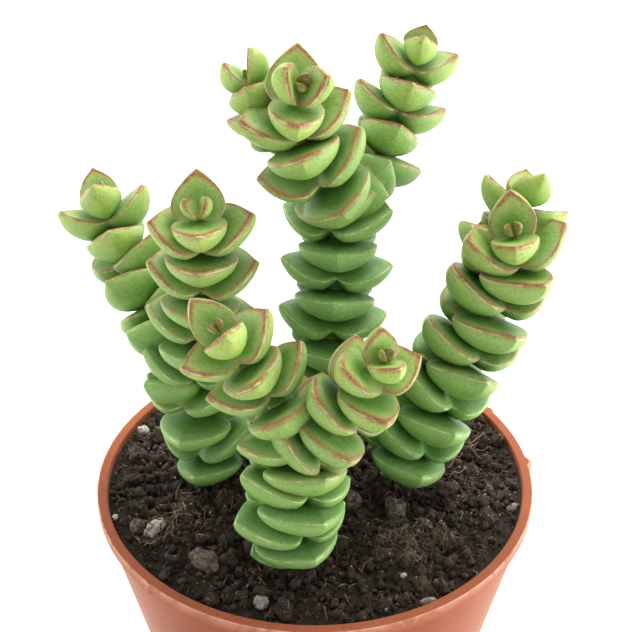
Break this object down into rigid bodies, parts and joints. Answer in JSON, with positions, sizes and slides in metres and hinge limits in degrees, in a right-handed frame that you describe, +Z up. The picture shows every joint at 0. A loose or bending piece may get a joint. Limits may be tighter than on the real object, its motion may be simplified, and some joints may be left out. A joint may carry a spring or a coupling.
{
  "type": "potted succulent",
  "caption": "Branching leafy succulent with thick paired leaves stacked up each stem, growing from soil in a round tapered nursery pot.",
  "frame": {"origin": "centre of the pot's underside, on the pot's axis", "axes": "+Z up along the pot's axis, -Y towards the side that the picture shows"},
  "size_m": [0.0898, 0.085, 0.1587],
  "materials": {
    "pot_plastic": "satin",
    "peat": "rough, crumbly",
    "leaf": "waxy satin"
  },
  "bodies": {
    "root": {"pot": "pot_plastic", "soil": "peat", "plant_left": "leaf", "plant_front": "leaf", "plant_right": "leaf", "plant_back": "leaf"}
  },
  "joints": []
}
